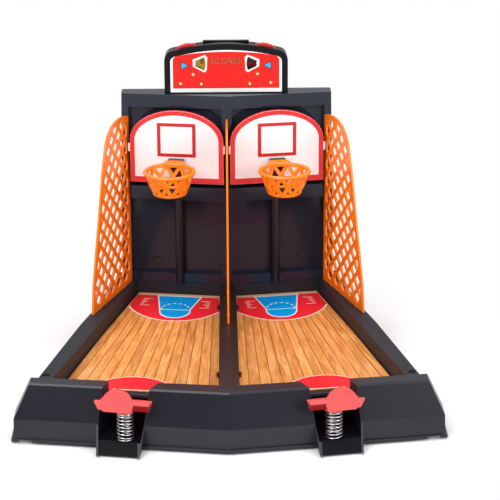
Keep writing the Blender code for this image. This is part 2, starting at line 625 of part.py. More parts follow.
def make_boards(shop, side, word):
    """Backboard with its mount, the pole below, the hoop bracket and the basket hoop."""
    arch = [(BOARD_HALF * math.cos(a), BOARD_SIDE + (BOARD_TOP - BOARD_SIDE) * math.sin(a))
            for a in [math.pi * i / 20 for i in range(21)]]
    outline = [(-BOARD_HALF, BOARD_LOW), (BOARD_HALF, BOARD_LOW), *arch]
    board = shop.body(wall_body(outline, -BOARD_T / 2, BOARD_T / 2), f"backboard_{word}")
    for reach, outward in ((LUG[0], side), (LUG[1], -side)):
        ends = sorted(((BOARD_HALF - 2.0) * outward, (BOARD_HALF + reach) * outward))
        shop.join(board, box((ends[0], -BOARD_T / 2 + 0.4, LUG[2]), (ends[1], BOARD_T / 2 - 0.4, LUG[3])))
    at = facade(BOARD_AT, BOARD_OUT - BOARD_T / 2, side)
    shop.finish(board, "board", at=(*at, 0), turn=TURN * side)
    left, right = BOARD_AT - 14.0, BOARD_AT + 14.0
    near, deep = BOARD_OUT - BOARD_T - GAP, GAP - PANEL_IN
    mount = facade_prism(((left, near), (right, near), (right, deep), (left, deep)), 148, 170, side)
    shop.finish(shop.body(mount, f"board_mount_{word}"), "black")
    pole = shop.body(rod(POLE_HALF, LOW_PANEL[1] - CAB_LOW - GAP * 2, segments=20), f"pole_{word}")
    boolean(pole, shop.tool(box((-9, -9, -60), (9, -GAP, 60))), "INTERSECT")
    at = facade(BOARD_AT, 0.0, side)
    shop.finish(pole, "black", at=(*at, (LOW_PANEL[1] + CAB_LOW) / 2), turn=TURN * side)
    bracket = shop.body(box((-7, -5.0, -5.5), (7, -GAP, 1.6)), f"hoop_bracket_{word}")
    shop.join(bracket, box((-5.5, -3.2, -15.0), (5.5, -GAP, -5.0)))
    at = facade(BOARD_AT, BOARD_OUT, side)
    shop.finish(bracket, "black", at=(*at, RIM_Z), turn=TURN * side, bevel=0.6)
    make_hoop(shop, side, word)


def make_hoop(shop, side, word):
    bm = bmesh.new()
    rings = []
    levels = ((RIM_R - 0.3, 0.0), ((RIM_R + BASKET_R) / 2 + 0.3, -BASKET_DROP / 2), (BASKET_R, -BASKET_DROP))
    for row, (radius, z) in enumerate(levels):
        shift = 0.5 * (row % 2)
        rings.append([bm.verts.new(Vector((radius * math.cos(2 * math.pi * (i + shift) / CELLS),
                                           radius * math.sin(2 * math.pi * (i + shift) / CELLS), z)) * MM)
                      for i in range(CELLS)])
    top, middle, foot = rings
    for i in range(CELLS):
        j = (i + 1) % CELLS
        bm.faces.new((top[i], middle[i], top[j]))
        bm.faces.new((top[j], middle[i], foot[j], middle[j]))
        bm.faces.new((middle[i], foot[i], foot[j]))
    bmesh.ops.recalc_face_normals(bm, faces=bm.faces)
    cells = list(bm.faces)
    bmesh.ops.inset_individual(bm, faces=cells, thickness=LATTICE * MM, use_even_offset=True)
    bmesh.ops.delete(bm, geom=cells, context="FACES_ONLY")
    net = shop.body(bm, f"hoop_{word}")
    mod = net.modifiers.new("thick", "SOLIDIFY")
    mod.thickness = 1.5 * MM
    mod.offset = 0.0
    depsgraph = bpy.context.evaluated_depsgraph_get()
    mesh = bpy.data.meshes.new_from_object(net.evaluated_get(depsgraph))
    net.modifiers.clear()
    net.data = mesh
    shop.join(net, torus(RIM_R, RIM_WIRE, 30, 6, 0.0), torus(BASKET_R, 0.95, 20, 4, -BASKET_DROP))
    back = BOARD_OUT + HOOP_OUT
    end = HOOP_OUT - 5.0 - GAP
    flare = RIM_R * math.cos(math.asin(11.5 / RIM_R))
    neck = prism(((-11.5, flare), (11.5, flare), (7.2, end), (-7.2, end)), -1.2, 1.2)
    shop.join(net, neck)
    shop.cut(net, prism(((-2.4, flare + 6.6), (2.4, flare + 6.6), (0.0, flare + 9.6)), -3, 3))
    at = facade(BOARD_AT, back, side)
    shop.finish(net, "orange", at=(*at, RIM_Z), turn=TURN * side)


def torus(major, minor, around, across, z):
    bpy.ops.mesh.primitive_torus_add(major_radius=major * MM, minor_radius=minor * MM, major_segments=around,
                                     minor_segments=across, location=(0.0, 0.0, 0.0))
    made = bpy.context.active_object
    bm = bmesh.new()
    bm.from_mesh(made.data)
    bpy.data.objects.remove(made, do_unlink=True)
    bmesh.ops.translate(bm, vec=(0.0, 0.0, z * MM), verts=bm.verts)
    return bm


def clipped(poly, edge):
    """Convex polygon clipped to the inner side of a counter-clockwise convex outline."""
    out = list(poly)
    for a, b in zip(edge, edge[1:] + edge[:1]):
        src, out = out, []
        if not src:
            break
        for p, q in zip(src, src[1:] + src[:1]):
            dp = (b[0] - a[0]) * (p[1] - a[1]) - (b[1] - a[1]) * (p[0] - a[0])
            dq = (b[0] - a[0]) * (q[1] - a[1]) - (b[1] - a[1]) * (q[0] - a[0])
            if dp >= 0:
                out.append(p)
            if dp * dq < 0:
                t = dp / (dp - dq)
                out.append((p[0] + (q[0] - p[0]) * t, p[1] + (q[1] - p[1]) * t))
    return out


def area_of(poly):
    return abs(sum(a[0] * b[1] - b[0] * a[1] for a, b in zip(poly, poly[1:] + poly[:1]))) / 2


def net_slots(outline):
    """Diamond slots of the lattice, cut off by a solid border."""
    inner = grown(list(reversed(outline)), -NET_BORDER)
    inner = list(inner)
    if sum(a[0] * b[1] - b[0] * a[1] for a, b in zip(inner, inner[1:] + inner[:1])) < 0:
        inner.reverse()
    slots = []
    for row in range(20):
        for col in range(9):
            x = SLOT_START[0] + (col - 1 + 0.5 * (row % 2)) * SLOT_STEP
            z = SLOT_START[1] + row * SLOT_STEP / 2
            slot = clipped([(x - SLOT_HALF, z), (x, z - SLOT_HALF), (x + SLOT_HALF, z), (x, z + SLOT_HALF)],
                           inner)
            if len(slot) >= 3 and area_of(slot) > 14.0:
                slots.append(slot)
    return slots


def make_net(shop, name, at, turn, scale):
    """Flat lattice panel in its own (u forward, z up) plane with two pegs under its foot."""
    outline = [(u * scale, z) for u, z in NET_OUTLINE]
    curve = bpy.data.curves.new(name, "CURVE")
    curve.dimensions = "2D"
    curve.fill_mode = "BOTH"
    curve.extrude = NET_T / 2 * MM
    for loop in [outline, *net_slots(outline)]:
        line = curve.splines.new("POLY")
        line.points.add(len(loop) - 1)
        for point, (u, z) in zip(line.points, loop):
            point.co = (u * MM, z * MM, 0, 1)
        line.use_cyclic_u = True
    temp = bpy.data.objects.new("panel", curve)
    shop.tools.objects.link(temp)
    mesh = bpy.data.meshes.new_from_object(temp)
    bm = bmesh.new()
    bm.from_mesh(mesh)
    bmesh.ops.remove_doubles(bm, verts=bm.verts, dist=1e-6)
    stand = Matrix(((0, 0, 1, 0), (-1, 0, 0, 0), (0, 1, 0, 0), (0, 0, 0, 1)))
    bmesh.ops.transform(bm, matrix=stand, verts=bm.verts)
    net = shop.body(bm, name)
    bpy.data.objects.remove(temp, do_unlink=True)
    for u in PEG_U:
        shop.join(net, rod(1.2, 5.0, (0, -u, -1.2), segments=12))
    shop.finish(net, "orange", at=at, turn=turn)


def head_outline(inset=0.0):
    """Scoreboard outline: straight sides, rounded corners and a flat arched top."""
    half, radius = HEAD_HALF - inset, HEAD_ARC_R - inset
    centre = HEAD_TOP - HEAD_ARC_R
    start = math.asin((half - HEAD_CORNER + 1.2) / radius)
    arc = [(radius * math.sin(start * (1 - i / 8)), centre + radius * math.cos(start * (1 - i / 8)))
           for i in range(9)]
    corner = []
    for i in range(5):
        a = math.radians(i * 18.0)
        corner.append((half - HEAD_CORNER * (1 - math.cos(a)) * 0.86,
                       HEAD_SIDE + (arc[0][1] - HEAD_SIDE) * math.sin(a) * 0.98))
    right = [(half, HEAD_LOW + inset), *corner, *[p for p in arc if p[0] > 0.01]]
    return right + [(0.0, HEAD_TOP - inset)] + [(-x, z) for x, z in reversed(right)]


def window_body(side, front, back):
    """Ring sector about a dial's centre, widening towards the middle of the scoreboard."""
    low, high, half = WINDOW
    angles = [math.radians(half * (i / 3 - 1)) for i in range(7)]
    ring = [(high * math.cos(a), high * math.sin(a)) for a in angles]
    ring += [(low * math.cos(a), low * math.sin(a)) for a in reversed(angles[::3])]
    return wall_body([(side * (DIAL_AT[0] - x), DIAL_AT[1] + z) for x, z in ring], front, back)


def make_header(shop):
    """Scoreboard: two half shells, a face panel, two numbered dials on pins."""
    front = shop.body(wall_body(head_outline(), HEAD_FRONT, HEAD_MID), "scoreboard_front")
    back = shop.body(wall_body(head_outline(), HEAD_MID + GAP, HEAD_BACK), "scoreboard_back")
    inner = head_outline(HEAD_WALL)
    shop.cut(front, wall_body(inner, HEAD_FRONT + HEAD_WALL, HEAD_MID + 1))
    shop.cut(back, wall_body(inner, HEAD_MID - 1, HEAD_BACK - HEAD_WALL))
    key = box((-KEY[0], HEAD_BACK - KEY[2], HEAD_TOP - 2.5), (KEY[0], HEAD_BACK, HEAD_TOP + KEY[1]))
    shop.join(back, key)
    inset = HEAD_HALF - PANEL_HALF
    face = [(x, z if z > HEAD_LOW + inset else HEAD_LOW + 0.6) for x, z in head_outline(inset)]
    panel = shop.body(wall_body(face, HEAD_FRONT - GAP - 0.8, HEAD_FRONT - GAP), "scoreboard_panel")
    for side, word in ((-1, "left"), (1, "right")):
        for piece in (front, panel):
            shop.cut(piece, window_body(side, 120.0, HEAD_FRONT + 3.0))
        x, z = DIAL_AT[0] * side, DIAL_AT[1]
        for piece in (front, back):
            shop.cut(piece, rod(DIAL_R + 0.6, DIAL_T + 1.4, (x, HEAD_MID + 0.15, z), axis="Y", segments=48))
        shop.join(front, rod(3.2, 2.6, (x, HEAD_FRONT + HEAD_WALL + 0.9, z), axis="Y", segments=16))
        shop.join(back, rod(3.2, 2.8, (x, HEAD_BACK - HEAD_WALL - 0.9, z), axis="Y", segments=16))
        shop.cut(front, rod(1.5, 6.0, (x, HEAD_FRONT + 4.4, z), axis="Y", segments=12))
        shop.cut(back, rod(1.5, 6.0, (x, HEAD_BACK - 4.2, z), axis="Y", segments=12))
        shop.join(front, box((30.0 * side - 6, 136, HEAD_LOW - 3.4),
                             (30.0 * side + 6, 138.5, HEAD_LOW + 1.0)))
        dial = shop.body(rod(DIAL_R, DIAL_T, axis="Y", segments=48), f"score_dial_{word}")
        shop.cut(dial, rod(1.6, 9.0, axis="Y", segments=12))
        shop.finish(dial, "red", at=(x, HEAD_MID + 0.15, z))
        pin = shop.body(rod(1.25, 10.2, axis="Y", segments=12), f"dial_pin_{word}")
        shop.finish(pin, "steel", at=(x, HEAD_MID + 0.05, z))
    shop.finish(front, "black")
    shop.finish(back, "black")
    shop.finish(panel, "panel")


def main():
    clear_scene()
    shop = Shop()
    make_console(shop)
    make_tray(shop)
    make_cover(shop)
    make_court(shop)
    make_cabinet(shop)
    for side, word in ((-1, "left"), (1, "right")):
        make_lever(shop, side, word)
        make_spring(shop, side, word)
        make_boards(shop, side, word)
        x, y = net_point(0.0, side)
        (x0, y0), (x1, y1) = SIDE_NET
        make_net(shop, f"net_{word}", (x, y, NET_FOOT), math.atan2(x1 - x0, y0 - y1) * side, 1.0)
    make_net(shop, "net_centre", (0, CAB_FRONT - 1.4, NET_FOOT), 0.0, 1.06)
    make_header(shop)


main()
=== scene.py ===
import math

import bpy
from mathutils import Matrix, Vector


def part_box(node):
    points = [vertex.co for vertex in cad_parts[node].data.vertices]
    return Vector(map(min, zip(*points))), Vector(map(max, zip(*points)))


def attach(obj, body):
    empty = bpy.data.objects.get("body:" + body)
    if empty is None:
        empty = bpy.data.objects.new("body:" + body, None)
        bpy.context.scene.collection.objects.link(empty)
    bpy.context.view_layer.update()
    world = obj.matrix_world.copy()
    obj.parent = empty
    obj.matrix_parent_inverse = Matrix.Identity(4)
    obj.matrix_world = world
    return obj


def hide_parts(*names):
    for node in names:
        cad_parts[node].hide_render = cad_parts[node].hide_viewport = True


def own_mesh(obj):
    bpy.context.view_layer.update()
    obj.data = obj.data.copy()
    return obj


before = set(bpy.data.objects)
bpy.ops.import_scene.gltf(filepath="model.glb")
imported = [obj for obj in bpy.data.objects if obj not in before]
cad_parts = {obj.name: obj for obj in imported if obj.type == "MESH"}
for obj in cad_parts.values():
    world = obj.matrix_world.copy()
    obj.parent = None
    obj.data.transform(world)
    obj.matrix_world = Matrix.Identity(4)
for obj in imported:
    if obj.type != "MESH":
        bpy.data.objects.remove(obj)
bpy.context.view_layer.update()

# Sizes are in millimetres and turned into metres by MM. The camera, the lights, the ground and the
# scales inside a finish are in metres.
MM = 0.001
SIDES = (("left", -1), ("right", 1))
UPRIGHT = Matrix.Rotation(math.pi / 2, 4, "X")     # stands a flat piece up, facing the player

TURN = math.radians(8.7)              # each half of the cabinet front is turned by this
FRONT_Y = 119.9                       # cabinet front on the centre line
BOARD_AT, BOARD_OUT = 42.4, 9.0       # backboard's centre along the cabinet front, its stand-off
BOARD_HALF, BOARD_LOW, BOARD_SHOULDER, BOARD_TOP = 40.6, 136.8, 174.5, 201.2

LANE_NEAR, LANE_LOW = -110.0, 26.4    # front end of the lane's floor, and its height there
LANE_RISE, LANE_RUN = 3.5, 235.0
CARD_BED, CARD_THICK = 0.3, 1.0
LANE_INNER = 7.8                      # edge of the printed court beside the divider
RAIL_AT, RAIL_SLOPE = (78.5, 131.0), 0.2642
CARD_BACK = 1.6                       # the card stops this far in front of the cabinet
PRINT = 0.06                          # each printed layer of a court stands this far over the last

LEVER_TURN = math.radians(12.0)       # the launchers are turned by this in plan
PIVOT = (75.5, -97.0)
SPRING_AT = (-3.0, -38.0)             # in the launcher's own plan
SPRING_LOW, SPRING_HIGH, SPRING_R, WIRE_R = 10.1, 32.2, 6.4, 0.45
SPRING_TURNS, STEPS_PER_TURN = 8.5, 28
CLOSED_SHARE = 0.07                   # share of the wire that lies flat at either end

DIAL_AT, DIAL_Y = (31.5, 239.0), 139.35
DIAL_R, DIAL_THICK, DIAL_TEETH = 16.5, 3.0, 44
TOOTH_FLOOR = 0.962                   # knurl's low points, as a share of the radius
FACE_R, FACE_HALF_ANGLE = 15.2, 48.0
DIGIT_R, DIGIT_SIZE, DIGITS = 10.6, 5.4, 10


# ---------------------------------------------------------------- shader helpers

def new_group(name, inputs, outputs):
    group = bpy.data.node_groups.new(name, "ShaderNodeTree")
    for title, kind, value in inputs:
        socket = group.interface.new_socket(title, in_out="INPUT", socket_type=kind)
        socket.default_value = value
    for title, kind in outputs:
        group.interface.new_socket(title, in_out="OUTPUT", socket_type=kind)
    return group, group.nodes.new("NodeGroupInput"), group.nodes.new("NodeGroupOutput")


def feed(tree, socket, value):
    """A value sets a socket, another socket is linked to it."""
    if isinstance(value, bpy.types.NodeSocket):
        tree.links.new(value, socket)
    else:
        socket.default_value = value


def add(tree, kind, links=(), **values):
    """A node with its settings and its inputs."""
    node = tree.nodes.new(kind)
    for key, value in values.items():
        setattr(node, key, value)
    for title, value in links:
        feed(tree, node.inputs[title], value)
    return node


def maths(tree, operation, a, b=0.0, c=0.0):
    return add(tree, "ShaderNodeMath", ((0, a), (1, b), (2, c)), operation=operation).outputs[0]


def noise(tree, at, scale, detail, *more):
    links = (("Vector", at), ("Scale", scale), ("Detail", detail), *more)
    return add(tree, "ShaderNodeTexNoise", links).outputs["Fac"]


def ranged(tree, value, start, end, at_start, at_end):
    links = ((0, value), (1, start), (2, end), (3, at_start), (4, at_end))
    return add(tree, "ShaderNodeMapRange", links).outputs[0]


def scaled(tree, colour, factor):
    return add(tree, "ShaderNodeVectorMath", ((0, colour), ("Scale", factor)),
               operation="SCALE").outputs["Vector"]


def point(tree, x, y, z):
    return add(tree, "ShaderNodeCombineXYZ", ((0, x), (1, y), (2, z))).outputs[0]


def blend_colours(tree, factor, a, b):
    node = add(tree, "ShaderNodeMix", data_type="RGBA")
    for index, value in ((0, factor), (6, a), (7, b)):
        feed(tree, node.inputs[index], (*value, 1.0) if isinstance(value, tuple) else value)
    return node.outputs[2]


def own_place(tree):
    return add(tree, "ShaderNodeTexCoord").outputs["Object"]


def direct_view(tree):
    """One for rays from the camera, in gloss or through clear matter, and nought for the light."""
    rays = add(tree, "ShaderNodeLightPath")
    seen = maths(tree, "MAXIMUM", rays.outputs["Is Camera Ray"],
                 rays.outputs["Is Transmission Ray"])
    return maths(tree, "MAXIMUM", seen, rays.outputs["Is Glossy Ray"])


def empty_material(name):
    mat = bpy.data.materials.new(name)
    mat.use_nodes = True
    return mat, mat.node_tree, mat.node_tree.nodes["Principled BSDF"]


def surface(tree, shader, colour, rough, height, strength, reach):
    """Colour, gloss and a fine relief of a finish."""
    feed(tree, shader.inputs["Base Color"], colour)
    feed(tree, shader.inputs["Roughness"], rough)
    relief = add(tree, "ShaderNodeBump",
                 (("Height", height), ("Strength", strength), ("Distance", reach)))
    feed(tree, shader.inputs["Normal"], relief.outputs["Normal"])


# ---------------------------------------------------------------- finishes

FINISH_OUTPUTS = (("Colour", "NodeSocketColor"), ("Roughness", "NodeSocketFloat"),
                  ("Height", "NodeSocketFloat"))


def moulded_plastic_group():
    """Fine spark-eroded grain with slow changes of tone and gloss, as injection moulding leaves."""
    group, given, out = new_group(
        "moulded_plastic",
        (("Colour", "NodeSocketColor", (0.5, 0.5, 0.5, 1.0)),
         ("Grain size", "NodeSocketFloat", 2600.0), ("Grain", "NodeSocketFloat", 0.5),
         ("Roughness", "NodeSocketFloat", 0.4), ("Spread", "NodeSocketFloat", 0.08),
         ("Tone", "NodeSocketFloat", 0.12)), FINISH_OUTPUTS)
    place_at = own_place(group)
    fine = noise(group, place_at, given.outputs["Grain size"], 2.0)
    slow = noise(group, place_at, 26.0, 3.0)
    centred = maths(group, "SUBTRACT", slow, 0.5)
    shade = maths(group, "MULTIPLY_ADD", centred, given.outputs["Tone"], 1.0)
    speck = maths(group, "MULTIPLY_ADD", maths(group, "SUBTRACT", fine, 0.5), 0.18, shade)
    feed(group, out.inputs["Colour"], scaled(group, given.outputs["Colour"], speck))
    feed(group, out.inputs["Roughness"],
         maths(group, "MULTIPLY_ADD", centred, given.outputs["Spread"], given.outputs["Roughness"]))
    feed(group, out.inputs["Height"], maths(group, "MULTIPLY", fine, given.outputs["Grain"]))
    return group


def print_ink_group():
    """Printed ink: a faint mottle in the colour and in the gloss of the varnish."""
    group, given, out = new_group(
        "print_ink",
        (("Colour", "NodeSocketColor", (0.5, 0.5, 0.5, 1.0)), ("Mottle", "NodeSocketFloat", 0.1),
         ("Roughness", "NodeSocketFloat", 0.3)), FINISH_OUTPUTS)
    place_at = own_place(group)
    dots = noise(group, place_at, 900.0, 3.0)
    cloud = noise(group, place_at, 40.0, 2.0)
    mix = maths(group, "SUBTRACT", maths(group, "ADD", dots, cloud), 1.0)
    shade = maths(group, "MULTIPLY_ADD", mix, given.outputs["Mottle"], 1.0)
    feed(group, out.inputs["Colour"], scaled(group, given.outputs["Colour"], shade))
    feed(group, out.inputs["Roughness"],
         maths(group, "MULTIPLY_ADD", mix, 0.06, given.outputs["Roughness"]))
    feed(group, out.inputs["Height"], dots)
    return group


MOULDED = moulded_plastic_group()
PRINTED = print_ink_group()


def plastic(name, colour, rough, spread=0.08, grain=0.5, size=2600.0, tone=0.12, bump=0.06,
            coat=0.0, glow=0.0, specular=0.5):
    mat, tree, shader = empty_material(name)
    finish = add(tree, "ShaderNodeGroup", node_tree=MOULDED)
    for title, value in (("Colour", (*colour, 1.0)), ("Grain size", size), ("Grain", grain),
                         ("Roughness", rough), ("Spread", spread), ("Tone", tone)):
        finish.inputs[title].default_value = value
    surface(tree, shader, finish.outputs["Colour"], finish.outputs["Roughness"],
            finish.outputs["Height"], bump, 0.0002)
    shader.inputs["Coat Weight"].default_value = coat
    shader.inputs["Coat Roughness"].default_value = 0.06
    shader.inputs["Specular IOR Level"].default_value = specular
    if glow:
        shader.inputs["Subsurface Weight"].default_value = glow
        shader.inputs["Subsurface Radius"].default_value = (0.004, 0.002, 0.001)
        shader.inputs["Subsurface Scale"].default_value = 0.5
    return mat


def shade_by_attribute(mat, name, painted_shade):
    """Mixes a darker colour in, as painted shade, where a piece's own attribute asks for it."""
    tree = mat.node_tree
    base = tree.nodes["Principled BSDF"].inputs["Base Color"]
    mask = add(tree, "ShaderNodeAttribute", attribute_name=name).outputs["Fac"]
    feed(tree, base, blend_colours(tree, mask, base.links[0].from_socket, painted_shade))


def ink(name, colour, rough=0.3, mottle=0.1):
    mat, tree, shader = empty_material(name)
    finish = add(tree, "ShaderNodeGroup", node_tree=PRINTED)
    for title, value in (("Colour", (*colour, 1.0)), ("Mottle", mottle), ("Roughness", rough)):
        finish.inputs[title].default_value = value
    shader.inputs["Specular IOR Level"].default_value = 0.3
    surface(tree, shader, finish.outputs["Colour"], finish.outputs["Roughness"],
            finish.outputs["Height"], 0.03, 0.0001)
    return mat


def spring_wire():
    """Bright drawn wire with fine lines along its turns."""
    mat, tree, shader = empty_material("spring_wire")
    streak = noise(tree, own_place(tree), 1400.0, 3.0)
    feed(tree, shader.inputs["Base Color"],
         blend_colours(tree, streak, (0.62, 0.62, 0.64), (0.86, 0.86, 0.88)))
    feed(tree, shader.inputs["Roughness"], maths(tree, "MULTIPLY_ADD", streak, 0.18, 0.12))
    shader.inputs["Metallic"].default_value = 1.0
    return mat


def court_wood():
    """Printed floorboards that fan out towards the player, each with its own tone and grain."""
    boards = 14.0
    mat, tree, shader = empty_material("court_wood")
    split = add(tree, "ShaderNodeSeparateXYZ", ((0, own_place(tree)),))
    x, y = split.outputs[0], split.outputs[1]
    across = maths(tree, "SUBTRACT", maths(tree, "ABSOLUTE", x), 0.0068)
    width = maths(tree, "MULTIPLY_ADD", maths(tree, "SUBTRACT", 0.133, y), 0.272, 0.0722)
    lane = maths(tree, "MULTIPLY", maths(tree, "DIVIDE", across, width), boards)
    side = maths(tree, "MULTIPLY", maths(tree, "SIGN", x), 37.0)
    board = maths(tree, "ADD", maths(tree, "FLOOR", lane), side)
    toss = add(tree, "ShaderNodeTexWhiteNoise", (("W", board),),
               noise_dimensions="1D").outputs["Value"]
    apart = maths(tree, "MULTIPLY", toss, 9.0)

    # grain runs along the boards, so it is drawn in board coordinates
    grain_at = point(tree, maths(tree, "MULTIPLY", lane, 0.42), maths(tree, "MULTIPLY", y, 7.0),
                     apart)
    grain = noise(tree, grain_at, 4.0, 8.0, ("Roughness", 0.62), ("Distortion", 0.9))
    figure_at = point(tree, maths(tree, "MULTIPLY", lane, 1.6), maths(tree, "MULTIPLY", y, 13.0),
                      apart)
    figure = noise(tree, figure_at, 1.6, 5.0, ("Distortion", 1.6))

    ramp = add(tree, "ShaderNodeValToRGB", ((0, grain),))
    stops = ramp.color_ramp.elements
    stops[0].position, stops[0].color = 0.30, (0.54, 0.175, 0.036, 1.0)
    stops[1].position, stops[1].color = 0.68, (0.93, 0.46, 0.155, 1.0)
    stops.new(0.5).color = (0.79, 0.31, 0.078, 1.0)
    toned = scaled(tree, ramp.outputs[0], maths(tree, "MULTIPLY_ADD", toss, 0.30, 0.84))
    glints = ranged(tree, figure, 0.60, 0.78, 0.0, 0.34)
    paler = blend_colours(tree, glints, toned, (0.93, 0.66, 0.40))
    shadow = ranged(tree, figure, 0.40, 0.25, 0.0, 0.45)
    deeper = blend_colours(tree, shadow, paler, (0.36, 0.13, 0.04))

    # thin dark line between one board and the next
    part = maths(tree, "FRACT", lane)
    edge = maths(tree, "MINIMUM", part, maths(tree, "SUBTRACT", 1.0, part))
    metres = maths(tree, "MULTIPLY", edge, maths(tree, "DIVIDE", width, boards))
    gap = ranged(tree, metres, 0.00016, 0.00046, 0.90, 0.0)
    lined = blend_colours(tree, gap, deeper, (0.10, 0.035, 0.02))
    rough = maths(tree, "MULTIPLY_ADD", grain, 0.14, 0.24)
    surface(tree, shader, lined, rough, grain, 0.05, 0.0002)
    return mat


SHELL = plastic("shell_black", (0.009, 0.009, 0.016), 0.32, spread=0.10, bump=0.07, specular=0.45)
FACE = plastic("cabinet_black", (0.020, 0.024, 0.040), 0.10, spread=0.06, grain=0.3, bump=0.02,
               specular=0.30)
TRAY = plastic("tray_black", (0.022, 0.022, 0.028), 0.50, spread=0.10, bump=0.07, specular=0.20)
HEAD = plastic("header_black", (0.005, 0.005, 0.007), 0.16, spread=0.06, grain=0.3, bump=0.03,
               specular=0.16)
# painted shade: a darker black for the upward faces in the launchers' wells, which lie in shade
WELL_PAINTED_SHADE = plastic("well_painted_shade", (0.004, 0.004, 0.006), 0.40, bump=0.05, specular=0.08)
LANE = plastic("lane_black", (0.018, 0.012, 0.011), 0.30, spread=0.10, bump=0.05)
HOOP = plastic("hoop_orange", (0.95, 0.235, 0.006), 0.26, grain=0.25, tone=0.10, bump=0.03,
               glow=0.04, specular=0.38)
NET = plastic("net_orange", (0.98, 0.215, 0.008), 0.28, grain=0.25, tone=0.10, bump=0.03,
              glow=0.06, specular=0.4)
RED = plastic("launcher_red", (0.78, 0.085, 0.085), 0.22, grain=0.2, tone=0.10, bump=0.03,
              glow=0.06, coat=0.2)
# painted shade: the launchers' downward faces are darkened to a dark red
shade_by_attribute(RED, "painted_shade", (0.30, 0.002, 0.004))
DIAL = plastic("dial_red", (0.75, 0.030, 0.030), 0.34, grain=0.3)
BOARD = plastic("board_white", (0.95, 0.93, 0.97), 0.26, grain=0.2, tone=0.04, bump=0.02, glow=0.10)
RUBBER = plastic("foot_rubber", (0.02, 0.02, 0.02), 0.75, grain=0.9, size=3800.0, bump=0.2)
STEEL = spring_wire()
WOOD = court_wood()
INK_RED = ink("ink_red", (0.86, 0.022, 0.034), 0.26)
INK_BOARD_RED = ink("ink_board_red", (0.56, 0.022, 0.026), 0.28)
INK_BORDER_RED = ink("ink_border_red", (0.74, 0.032, 0.034), 0.28)
INK_BLUE = ink("ink_blue", (0.000, 0.36, 0.86))
INK_WHITE = ink("ink_white", (0.90, 0.88, 0.86), mottle=0.05)
INK_PALE = ink("ink_pale", (0.93, 0.74, 0.66), mottle=0.06)
INK_CYAN = ink("ink_cyan", (0.42, 0.80, 0.93), mottle=0.06)
INK_SAND = ink("ink_sand", (0.66, 0.46, 0.30), 0.34, mottle=0.35)
INK_SIGN = ink("ink_sign_red", (0.80, 0.010, 0.006), 0.34)
INK_AMBER = ink("ink_amber", (1.0, 0.56, 0.05))
INK_MAROON = ink("ink_maroon", (0.22, 0.008, 0.012), mottle=0.2)
INK_DARK = ink("ink_dark", (0.03, 0.02, 0.02), 0.35)
INK_GOLD = ink("ink_gold", (0.60, 0.13, 0.03))
INK_CREAM = ink("ink_cream", (0.90, 0.66, 0.30))
INK_SKY = ink("ink_sky", (0.06, 0.42, 0.75))


# ---------------------------------------------------------------- modelling helpers

def only(*pieces):
    """Select these pieces alone, the first one active."""
    bpy.ops.object.select_all(action="DESELECT")
    for piece in pieces:
        piece.select_set(True)
    bpy.context.view_layer.objects.active = pieces[0]


def settle(piece):
    """Put a piece's place into its mesh, so that its object sits at the origin."""
    only(piece)
    bpy.ops.object.transform_apply(location=True, rotation=True, scale=True)
    return piece


def place(piece, matrix):
    piece.matrix_world = matrix
    return settle(piece)


def shift(x, y, z):
    return Matrix.Translation(Vector((x, y, z)) * MM)


def apply_all(piece):
    only(piece)
    for mod in list(piece.modifiers):
        bpy.ops.object.modifier_apply(modifier=mod.name)


def smooth(piece, degrees):
    only(piece)
    bpy.ops.object.shade_smooth_by_angle(angle=math.radians(degrees))


def join(pieces, name):
    only(*pieces)
    bpy.ops.object.join()
    piece = bpy.context.active_object
    piece.name = name
    return piece


def dress(piece, name, material, body="machine", instead=()):
    """Name a piece, give it its finish and say what it rides on and stands in for."""
    piece.name = name
    piece.data.name = name
    piece.data.materials.clear()
    piece.data.materials.append(material)
    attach(piece, body)
    if instead:
        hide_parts(*instead)
    return piece


def softened(node, radius, segments=2, angle=12.0):
    """A merged copy of a CAD node with its moulded edges rounded off."""
    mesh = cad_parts[node].data.copy()
    piece = bpy.data.objects.new(f"{node}_moulding", mesh)
    bpy.context.collection.objects.link(piece)
    only(piece)
    bpy.ops.object.mode_set(mode="EDIT")
    bpy.ops.mesh.select_all(action="SELECT")
    bpy.ops.mesh.remove_doubles(threshold=0.000004)
    bpy.ops.mesh.dissolve_limited(angle_limit=math.radians(0.6))
    bpy.ops.object.mode_set(mode="OBJECT")
    if mesh.has_custom_normals:
        bpy.ops.mesh.customdata_custom_splitnormals_clear()
    round_off = piece.modifiers.new("round", "BEVEL")
    round_off.width = radius * MM
    round_off.segments = segments
    round_off.limit_method = "ANGLE"
    round_off.angle_limit = math.radians(angle)
    round_off.use_clamp_overlap = True
    round_off.harden_normals = False
    apply_all(piece)
    smooth(piece, 32.0)
    level = piece.modifiers.new("level", "WEIGHTED_NORMAL")
    level.keep_sharp = True
    level.weight = 90
    apply_all(piece)
    return piece


def outline_piece(points, thickness, name):
    """A thin plate from a closed outline of (x, y, z) points, thickened downwards."""
    bpy.ops.object.select_all(action="DESELECT")
    bpy.ops.mesh.primitive_circle_add(vertices=len(points), radius=0.01, fill_type="NGON")
    piece = bpy.context.active_object
    piece.name = name
    for vertex, at in zip(piece.data.vertices, points):
        vertex.co = Vector(at) * MM
    down = Vector((0.0, 0.0, -thickness)) * MM
    bpy.ops.object.mode_set(mode="EDIT")
    bpy.ops.mesh.select_all(action="SELECT")
    bpy.ops.mesh.extrude_region_move(TRANSFORM_OT_translate={"value": down})
    bpy.ops.mesh.select_all(action="SELECT")
    bpy.ops.mesh.normals_make_consistent(inside=False)
    bpy.ops.object.mode_set(mode="OBJECT")
    return piece


